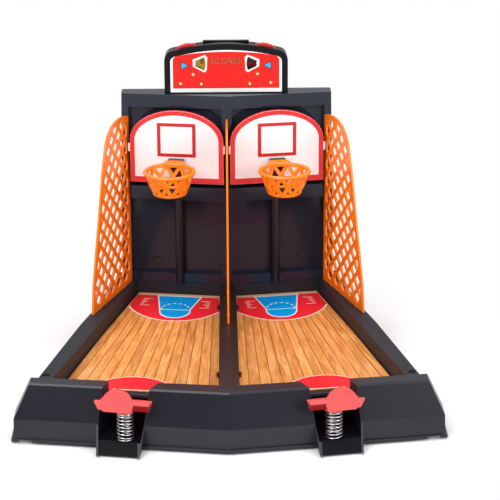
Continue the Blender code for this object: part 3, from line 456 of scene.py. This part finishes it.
def flat_plate(loops, thickness, name):
    """A flat plate in its own XY plane from closed loops; inner loops become holes."""
    curve = bpy.data.curves.new(name, "CURVE")
    curve.dimensions = "2D"
    curve.fill_mode = "BOTH"
    curve.extrude = thickness / 2 * MM
    for loop in loops:
        line = curve.splines.new("POLY")
        line.points.add(len(loop) - 1)
        for knot, (x, y) in zip(line.points, loop):
            knot.co = (x * MM, y * MM, 0.0, 1.0)
        line.use_cyclic_u = True
    piece = bpy.data.objects.new(name, curve)
    bpy.context.collection.objects.link(piece)
    only(piece)
    bpy.ops.object.convert(target="MESH")
    piece = bpy.context.active_object
    bpy.ops.object.mode_set(mode="EDIT")
    bpy.ops.mesh.select_all(action="SELECT")
    bpy.ops.mesh.remove_doubles(threshold=0.000002)
    bpy.ops.mesh.normals_make_consistent(inside=False)
    bpy.ops.object.mode_set(mode="OBJECT")
    return piece


def lettering(word, size, name, thickness, weight):
    """Raised letters in their own XY plane; weight makes their strokes fatter."""
    bpy.ops.object.select_all(action="DESELECT")
    bpy.ops.object.text_add()
    text = bpy.context.active_object
    text.data.body = word
    text.data.size = size * MM
    text.data.align_x = "CENTER"
    text.data.align_y = "CENTER"
    text.data.extrude = thickness / 2 * MM
    text.data.offset = weight * MM
    text.name = name
    bpy.ops.object.convert(target="MESH")
    return bpy.context.active_object


def arc(cx, cy, rx, ry, start, end, steps):
    angles = (math.radians(start + (end - start) * i / steps) for i in range(steps + 1))
    return [(cx + rx * math.cos(a), cy + ry * math.sin(a)) for a in angles]


def ribbon(points, width):
    """Closed outline of a line of even width along the given points."""
    left, right = [], []
    for i, (x, y) in enumerate(points):
        ax, ay = points[max(0, i - 1)]
        bx, by = points[min(len(points) - 1, i + 1)]
        length = math.hypot(bx - ax, by - ay)
        nx, ny = -(by - ay) / length * width / 2, (bx - ax) / length * width / 2
        left.append((x + nx, y + ny))
        right.append((x - nx, y - ny))
    return left + right[::-1]


def refine(points, steps):
    """Smooth line through the given points."""
    last = len(points) - 1
    out = []
    for i in range(last):
        p0, p1, p2, p3 = (points[max(0, min(last, j))] for j in (i - 1, i, i + 1, i + 2))
        for k in range(steps):
            t = k / steps
            out.append(tuple(0.5 * (2 * b + (c - a) * t + (2 * a - 5 * b + 4 * c - d) * t * t
                                    + (3 * b - a - 3 * c + d) * t ** 3)
                             for a, b, c, d in zip(p0, p1, p2, p3)))
    return out + [points[-1]]


# ---------------------------------------------------------------- camera, light and ground

CAMERA_AT = (-0.00379, -1.60465, 0.67516)
CAMERA_YAW, CAMERA_DOWN, CAMERA_ROLL = -0.0136, 0.3354, -0.0043
WHITE = (1.0, 1.0, 1.0, 1.0)


def set_camera():
    data = bpy.data.cameras.new("camera")
    data.sensor_width = 36.0
    data.lens = 150.0
    data.clip_start = 0.05
    data.dof.use_dof = False
    camera = bpy.data.objects.new("camera", data)
    bpy.context.scene.collection.objects.link(camera)
    camera.matrix_world = (Matrix.Translation(CAMERA_AT) @ Matrix.Rotation(CAMERA_YAW, 4, "Z")
                           @ Matrix.Rotation(math.pi / 2 - CAMERA_DOWN, 4, "X")
                           @ Matrix.Rotation(CAMERA_ROLL, 4, "Z"))
    bpy.context.scene.camera = camera


def softbox(name, at, target, size, power):
    data = bpy.data.lights.new(name, "AREA")
    data.shape = "RECTANGLE"
    data.size, data.size_y = size
    data.energy = power
    lamp = bpy.data.objects.new(name, data)
    bpy.context.scene.collection.objects.link(lamp)
    lamp.location = at
    lamp.rotation_euler = (Vector(target) - Vector(at)).to_track_quat("-Z", "Y").to_euler()


def set_studio():
    """White all round, which lights at half the strength it is seen at, and three softboxes."""
    scene = bpy.context.scene
    scene.view_settings.view_transform = "Standard"
    world = bpy.data.worlds.new("studio")
    scene.world = world
    world.use_nodes = True
    tree = world.node_tree
    tree.nodes.clear()
    fill = add(tree, "ShaderNodeBackground", (("Color", WHITE), ("Strength", 0.50)))
    white = add(tree, "ShaderNodeBackground", (("Color", WHITE), ("Strength", 1.0)))
    mix = add(tree, "ShaderNodeMixShader",
              ((0, direct_view(tree)), (1, fill.outputs[0]), (2, white.outputs[0])))
    add(tree, "ShaderNodeOutputWorld", (("Surface", mix.outputs[0]),))
    softbox("key", (-0.75, -1.15, 1.25), (0.0, 0.0, 0.08), (0.9, 0.9), 15.0)
    softbox("fill", (0.95, -1.05, 0.75), (0.0, 0.0, 0.08), (0.8, 0.8), 8.0)
    softbox("top", (0.0, 0.0, 1.35), (0.0, 0.03, 0.0), (1.1, 0.9), 9.0)


def lay_ground():
    """White paper sweep: it keeps the machine's shadow near it and runs out to plain white."""
    bpy.ops.object.select_all(action="DESELECT")
    bpy.ops.mesh.primitive_grid_add(x_subdivisions=8, y_subdivisions=8, size=6.0,
                                    location=(0.0, 0.6, -0.0002))
    ground = settle(bpy.context.active_object)
    ground.name = "ground"
    mat, tree, shader = empty_material("ground_paper")
    place_at = own_place(tree)
    fibre = noise(tree, place_at, 300.0, 3.0)
    feed(tree, shader.inputs["Base Color"],
         blend_colours(tree, fibre, (0.93, 0.93, 0.93), (0.96, 0.96, 0.96)))
    shader.inputs["Roughness"].default_value = 0.9
    shader.inputs["Specular IOR Level"].default_value = 0.1
    far = add(tree, "ShaderNodeVectorMath", ((0, place_at),), operation="LENGTH").outputs["Value"]
    fade = add(tree, "ShaderNodeMapRange", ((0, far), (1, 0.17), (2, 0.30)),
               interpolation_type="SMOOTHSTEP").outputs[0]
    white = add(tree, "ShaderNodeEmission", (("Color", WHITE), ("Strength", 1.0)))
    mix = add(tree, "ShaderNodeMixShader",
              ((0, maths(tree, "MULTIPLY", fade, direct_view(tree))), (1, shader.outputs[0]),
               (2, white.outputs[0])))
    feed(tree, tree.nodes["Material Output"].inputs["Surface"], mix.outputs[0])
    ground.data.materials.append(mat)


def hang_card(name, at, size, tone):
    """Card that shows in gloss alone, as the darker sides of a studio do."""
    bpy.ops.object.select_all(action="DESELECT")
    bpy.ops.mesh.primitive_plane_add(size=1.0, location=at, rotation=(math.pi / 2, 0.0, 0.0))
    card = bpy.context.active_object
    card.scale = (*size, 1.0)
    settle(card)
    card.name = name
    mat, tree, shader = empty_material(name)
    shader.inputs["Base Color"].default_value = (0.01, 0.01, 0.01, 1.0)
    shader.inputs["Emission Color"].default_value = WHITE
    shader.inputs["Emission Strength"].default_value = tone
    card.data.materials.append(mat)
    card.visible_camera = False
    card.visible_diffuse = False
    card.visible_shadow = False


set_camera()
set_studio()
lay_ground()
hang_card("front_card", (0.0, -2.4, 0.95), (3.4, 1.7), 0.02)
hang_card("back_card", (0.0, 1.7, 0.75), (3.4, 1.3), 0.48)


# ---------------------------------------------------------------- black mouldings

for node, radius, material, slot in (
        ("front_console", 0.7, SHELL, "black_plastic"),
        ("court_tray", 0.6, TRAY, "black_plastic"),
        ("cabinet_shell", 0.5, FACE, "gloss_black_plastic"),
        ("cabinet_back", 0.4, SHELL, "black_plastic"),
        ("scoreboard_front", 0.7, HEAD, "black_plastic"),
        ("scoreboard_back", 0.7, HEAD, "black_plastic"),
        ("bottom_cover", 0.3, SHELL, "black_plastic"),
        ("centre_divider", 0.5, LANE, "black_plastic")):
    dress(softened(node, radius), f"{node}_moulding", material, instead=(node,))


def darken_wells(console):
    """The floors of the launchers' wells and the slanted panels over them lie in shade, so they get
    a darker black as painted shade.
    """
    console.data.materials.append(WELL_PAINTED_SHADE)
    for face in console.data.polygons:
        across, depth, height = (value / MM for value in face.center)
        in_well = 66.0 < abs(across) < 102.6 and depth < -128.0 and height < 9.9
        if in_well and face.normal.z > 0.3:
            face.material_index = 1


darken_wells(bpy.data.objects["front_console_moulding"])

for word, side in SIDES:
    for node in (f"board_mount_{word}", f"hoop_bracket_{word}", f"pole_{word}",
                 f"clip_back_{word}", f"clip_front_{word}"):
        dress(softened(node, 0.25), f"{node}_moulding", SHELL,
              instead=(node,))
    for node in (f"foot_front_{word}", f"foot_back_{word}"):
        dress(softened(node, 0.3), f"{node}_pad", RUBBER, instead=(node,))
    for node in (f"back_screw_high_{word}", f"back_screw_low_{word}", f"rail_screw_{word}",
                 f"launcher_pin_{word}", f"dial_pin_{word}"):
        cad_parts[node].data.materials.clear()
        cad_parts[node].data.materials.append(STEEL)


# ---------------------------------------------------------------- orange nets and hoops

for node in ("net_left", "net_right", "net_centre"):
    dress(softened(node, 0.35, angle=50.0), f"{node}_lattice", NET,
          instead=(node,))
for word, side in SIDES:
    dress(softened(f"hoop_{word}", 0.3, angle=50.0), f"hoop_{word}_basket", HOOP,
          instead=(f"hoop_{word}",))


# ---------------------------------------------------------------- printed courts
# Outlines are given for the right lane as (x, y) and mirrored for the left one.

ARC_LINE = refine([(86.4, 98.6), (83.4, 89.5), (77.4, 79.8), (68.4, 70.6), (57.0, 64.2),
                   (45.0, 62.0), (33.0, 63.4), (21.0, 69.0), (LANE_INNER, 81.0)], 5)
KEY_SHAPE = [(24.4, 117.5), (33.4, 88.5), *arc(46.2, 84.5, 12.6, 14.5, 172.0, 360.0, 18),
             (58.8, 88.0), (60.7, 123.5)]
KEY_CENTRE = (46.0, 98.0)
THROW_LINE = [(33.6, 86.0), (58.6, 89.4)]
START_CENTRE, START_R, START_EDGE = (78.2, -92.4), 35.1, 0.9
START_NOTCH = [(53.4, -100.6), (56.9, -84.8), (92.0, -79.7), (93.5, -97.4)]
START_NOTCH_EDGE = [(54.3, -101.7), (57.7, -85.8), (91.2, -80.8), (92.7, -98.9)]
# blocks of small print: top corner, sideways creep of each row, and the rows' signed lengths
PRINT_BLOCKS = (((74.0, 116.5), 0.5, (-8.0, -4.6, -3.4, -5.0, -3.2, -2.6, -8.4)),
                ((15.2, 106.0), 0.3, (8.2, 4.2, 3.0, 5.2, 3.6, 3.0, 7.6)))
ROW_STEP, ROW_SLOPE = -2.6, 0.15


def card_top(y):
    return LANE_LOW + (y - LANE_NEAR) * LANE_RISE / LANE_RUN + CARD_BED + CARD_THICK


def rail_line(y, inward):
    return RAIL_AT[0] - inward + (RAIL_AT[1] - y) * RAIL_SLOPE


def back_edge(x, inward=0.0):
    return FRONT_Y + x * math.tan(TURN) - CARD_BACK - inward


def behind(points, inward):
    """Outline held in front of the court's back edge."""
    return [(x, min(y, back_edge(x, inward))) for x, y in points]


def court_patch(points, layer, name, side):
    """One printed patch that follows the sloping card."""
    shaped = [(x * side, y, card_top(y) + PRINT * layer) for x, y in points]
    return outline_piece(shaped, PRINT * 0.8, name)


def court_print(points, layer, kind, word, side, material):
    dress(court_patch(points, layer, f"{kind}_{word}", side), f"court_{kind}_{word}", material)


def grown_key():
    """The key's outline with a rim round it for the white line."""
    cx, cy = KEY_CENTRE
    return [(cx + (x - cx) * 1.06 + (0.4 if x > cx else -0.4), cy + (y - cy) * 1.05)
            for x, y in KEY_SHAPE]


def court_prints(word, side):
    corner = rail_line(back_edge(80.0, 5.0), 0.6)
    inner_back = (LANE_INNER, back_edge(LANE_INNER, 5.0))
    outer_back = (corner, back_edge(corner, 5.0))
    court_print(ARC_LINE + [inner_back, outer_back], 1, "zone", word, side, INK_RED)
    court_print(ribbon(ARC_LINE, 1.5), 2, "arc", word, side, INK_PALE)
    court_print([(LANE_INNER, back_edge(LANE_INNER)), (corner - 1.4, back_edge(corner - 1.4)),
                 outer_back, inner_back], 1, "baseline", word, side, INK_SAND)
    court_print(behind(grown_key(), 4.6), 2, "key_line", word, side, INK_WHITE)
    court_print(behind(KEY_SHAPE, 6.2), 3, "key", word, side, INK_BLUE)
    court_print(ribbon(THROW_LINE, 1.5), 4, "throw_line", word, side, INK_CYAN)

    dashes = []
    for i in range(7):
        start = 8.0 + i * 24.0
        bit = arc(46.1, 88.2, 12.2, 14.5, start, start + 13.0, 4)
        dashes.append(court_patch(ribbon(bit, 1.1), 4, "dash", side))
    dress(join(dashes, f"dashes_{word}"), f"court_dashes_{word}", INK_WHITE)

    rows = []
    for (x0, y0), creep, lengths in PRINT_BLOCKS:
        for i, length in enumerate(lengths):
            x, y = x0 + creep * i, y0 + i * ROW_STEP
            row = ribbon([(x, y), (x + length, y + length * ROW_SLOPE)], 0.7)
            rows.append(court_patch(row, 2, "row", side))
    dress(join(rows, f"rows_{word}"), f"court_rows_{word}", INK_PALE)

    rim = START_R + START_EDGE
    court_print(arc(*START_CENTRE, rim, rim, -9.6, 197.4, 44) + START_NOTCH_EDGE, 1,
                "start_edge", word, side, INK_PALE)
    court_print(arc(*START_CENTRE, START_R, START_R, -7.6, 195.6, 44) + START_NOTCH, 2,
                "start_zone", word, side, INK_RED)


for word, side in SIDES:
    dress(softened(f"court_{word}", 0.15), f"court_{word}_card", WOOD,
          instead=(f"court_{word}",))
    court_prints(word, side)


# ---------------------------------------------------------------- backboards

def facade_matrix(side, along, out, z):
    """Stands a flat piece on the turned cabinet front: its X along the front, its Y up."""
    c, s = math.cos(TURN), math.sin(TURN)
    at = shift((along * c + out * s) * side, FRONT_Y + along * s - out * c, z)
    return at @ Matrix.Rotation(TURN * side, 4, "Z") @ UPRIGHT


def board_outline(inset, foot):
    half, top = BOARD_HALF - inset, BOARD_TOP - inset
    rise = arc(0.0, BOARD_SHOULDER, half, top - BOARD_SHOULDER, 0.0, 180.0, 32)
    return [(-half, BOARD_LOW + foot), (half, BOARD_LOW + foot), *rise]


def square_outline(half, low, high):
    return [(-half, low), (half, low), (half, high), (-half, high)]


for word, side in SIDES:
    dress(softened(f"backboard_{word}", 0.15), f"backboard_{word}_plate", BOARD,
          instead=(f"backboard_{word}",))
    border = flat_plate([board_outline(0.15, 0.15), board_outline(4.0, 5.0)], 0.12, "border")
    square = flat_plate([square_outline(16.8, 160.3, 190.2), square_outline(13.8, 163.2, 187.3)],
                        0.12, "square")
    band = flat_plate([board_outline(-0.05, -0.05), board_outline(0.4, 0.4)], 2.7, "band")
    band.location.z = -1.56 * MM
    border = join([border, settle(band)], f"board_border_{word}")
    for piece, name, red in ((border, f"board_border_{word}", INK_BORDER_RED),
                             (square, f"board_square_{word}", INK_BOARD_RED)):
        place(piece, facade_matrix(side, BOARD_AT, BOARD_OUT + 0.06, 0.0))
        dress(piece, name, red)


# ---------------------------------------------------------------- launchers and springs

def coil(name, side):
    """Compression spring with closed end turns, and the point in the well that it stands on."""
    curve = bpy.data.curves.new(name, "CURVE")
    curve.dimensions = "3D"
    curve.bevel_depth = WIRE_R * MM
    curve.bevel_resolution = 2
    curve.use_fill_caps = True
    count = int(SPRING_TURNS * STEPS_PER_TURN)
    line = curve.splines.new("POLY")
    line.points.add(count)
    c, s = math.cos(LEVER_TURN), math.sin(LEVER_TURN)
    along, back = SPRING_AT
    x0 = (PIVOT[0] + along * c - back * s) * side
    y0 = PIVOT[1] + along * s + back * c
    rise = SPRING_HIGH - SPRING_LOW - 2 * WIRE_R
    for i in range(count + 1):
        a = 2 * math.pi * i / STEPS_PER_TURN
        climbed = min(1.0, max(0.0, (i / count - CLOSED_SHARE) / (1.0 - 2 * CLOSED_SHARE)))
        line.points[i].co = ((x0 + SPRING_R * math.cos(a)) * MM,
                             (y0 + SPRING_R * math.sin(a) * side) * MM,
                             (SPRING_LOW + WIRE_R + rise * climbed) * MM, 1.0)
    piece = bpy.data.objects.new(name, curve)
    bpy.context.collection.objects.link(piece)
    only(piece)
    bpy.ops.object.convert(target="MESH")
    piece = bpy.context.active_object
    smooth(piece, 60.0)
    return piece, (x0 * MM, y0 * MM, SPRING_LOW * MM)


def mark_undersides(piece):
    """Faces that look down get a dark red as painted shade, for the shade that falls on the
    undersides of the moulding.
    """
    painted_shade = piece.data.attributes.new("painted_shade", "FLOAT", "CORNER")
    for face in piece.data.polygons:
        amount = min(1.0, max(0.0, (-face.normal.z - 0.12) / 0.2))
        for corner in face.loop_indices:
            painted_shade.data[corner].value = amount


for word, side in SIDES:
    lever = softened(f"launcher_{word}", 0.25)
    mark_undersides(lever)
    dress(lever, f"launcher_{word}_lever", RED, body=f"launcher_{word}",
          instead=(f"launcher_{word}",))
    spring, foot = coil(f"spring_{word}_coil", side)
    dress(spring, f"spring_{word}_coil", STEEL, instead=(f"spring_{word}",))
    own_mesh(spring)


# ---------------------------------------------------------------- scoreboard
# Outlines are given as (x, z) and mirrored where they come in pairs.

WINDOW = [(28.3, 236.5), (18.6, 231.4), (16.6, 233.0), (16.0, 244.6), (18.1, 246.9), (28.7, 242.8)]
SIGN_RED = [(45.6, 217.4), (45.6, 242.6), (44.8, 244.4), (43.2, 245.8), (31.0, 247.9),
            (20.0, 248.8), (8.0, 249.4), (0.0, 249.5)]
ARROW = [(38.2, 240.3), (38.2, 234.7), (32.6, 237.5)]
ARROW_EDGE = [(38.9, 241.4), (38.9, 233.6), (31.2, 237.5)]
WORD_AT, WORD_SIZE, WORD_SQUEEZE = (-0.4, 241.2), 7.6, 0.98
STARS = ((-28.3, 229.8), (-39.2, 221.7), (-21.4, 221.3), (26.9, 230.0), (20.3, 221.3),
         (38.2, 222.2))
INK_THICK = 0.1


def mirror_loop(loop, side):
    return [(x * side, z) for x, z in loop]


def sign_matrix(out):
    """Stands a flat piece this far in front of the sticker."""
    return shift(0.0, front - out, 0.0) @ UPRIGHT


def sign_print(loops, out, name, material):
    piece = flat_plate(loops, INK_THICK, name)
    place(piece, sign_matrix(out))
    dress(piece, name, material)


def star_loop(x, z, tip):
    ring = []
    for i in range(10):
        radius = tip * (1.0 if i % 2 == 0 else 0.5)
        a = math.radians(90.0 + 36.0 * i)
        ring.append((x + radius * math.cos(a), z + radius * math.sin(a)))
    return ring


dress(softened("scoreboard_panel", 0.12, segments=1), "scoreboard_sticker", INK_WHITE,
      instead=("scoreboard_panel",))
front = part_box("scoreboard_panel")[0].y / MM
sign_print([SIGN_RED + mirror_loop(SIGN_RED[-2::-1], -1), mirror_loop(WINDOW, -1), WINDOW], 0.05,
           "sign_red", INK_SIGN)
for word, side in SIDES:
    sign_print([mirror_loop(ARROW, side)], 0.16, f"sign_arrow_{word}", INK_SKY)
    sign_print([mirror_loop(ARROW_EDGE, side)], 0.11, f"sign_arrow_edge_{word}", INK_DARK)
for name, weight, out, material in (("sign_scores_edge", 0.42, 0.16, INK_MAROON),
                                    ("sign_scores", 0.04, 0.24, INK_GOLD)):
    scores = lettering("SCORES", WORD_SIZE, name, INK_THICK, weight)
    place(scores, sign_matrix(out) @ shift(*WORD_AT, 0.0)
          @ Matrix.Scale(WORD_SQUEEZE, 4, (1, 0, 0)))
    dress(scores, name, material)
for name, tip, out, material in (("sign_stars", 1.75, 0.16, INK_CREAM),
                                 ("sign_star_edges", 2.5, 0.11, INK_MAROON)):
    stars = join([flat_plate([star_loop(x, z, tip)], INK_THICK, "star") for x, z in STARS], name)
    place(stars, sign_matrix(out))
    dress(stars, name, material)


def score_dial(word, side):
    """Score wheel with a knurled rim, a printed ground behind its first digit, and its digits."""
    body = f"score_dial_{word}"
    at = shift(DIAL_AT[0] * side, DIAL_Y, DIAL_AT[1])
    to_window = 0.0 if side < 0 else 180.0

    bpy.ops.object.select_all(action="DESELECT")
    bpy.ops.mesh.primitive_cylinder_add(vertices=DIAL_TEETH * 4, radius=DIAL_R * MM,
                                        depth=DIAL_THICK * MM)
    wheel = bpy.context.active_object
    step = 360.0 / (DIAL_TEETH * 4)
    for vertex in wheel.data.vertices:
        angle = math.degrees(math.atan2(vertex.co.y, vertex.co.x))
        if round(angle / step) % 4 in (0, 1):
            vertex.co.x *= TOOTH_FLOOR
            vertex.co.y *= TOOTH_FLOOR
    edge = wheel.modifiers.new("edge", "BEVEL")
    edge.width = 0.12 * MM
    edge.segments = 1
    edge.limit_method = "ANGLE"
    apply_all(wheel)
    place(wheel, at @ UPRIGHT)
    smooth(wheel, 30.0)
    dress(wheel, f"score_wheel_{word}", DIAL, body=body,
          instead=(f"score_dial_{word}",))

    sector = arc(0.0, 0.0, FACE_R, FACE_R, to_window - FACE_HALF_ANGLE,
                 to_window + FACE_HALF_ANGLE, 24)
    face = flat_plate([[(0.0, 0.0), *sector]], INK_THICK, "face")
    place(face, at @ shift(0.0, -1.55, 0.0) @ UPRIGHT)
    dress(face, f"score_face_{word}", INK_AMBER if side < 0 else INK_MAROON, body=body)

    numbers = []
    for i in range(DIGITS):
        digit = lettering(str(i), DIGIT_SIZE, "digit", 0.08, 0.05)
        angle = math.radians(to_window) + 2 * math.pi * i / DIGITS
        numbers.append(place(digit, at @ shift(0.0, -1.64, 0.0) @ Matrix.Rotation(-angle, 4, "Y")
                             @ shift(DIGIT_R, 0.0, 0.0) @ Matrix.Rotation(angle, 4, "Y") @ UPRIGHT))
    dress(join(numbers, f"score_numbers_{word}"), f"score_numbers_{word}", INK_DARK, body=body)


for word, side in SIDES:
    score_dial(word, side)
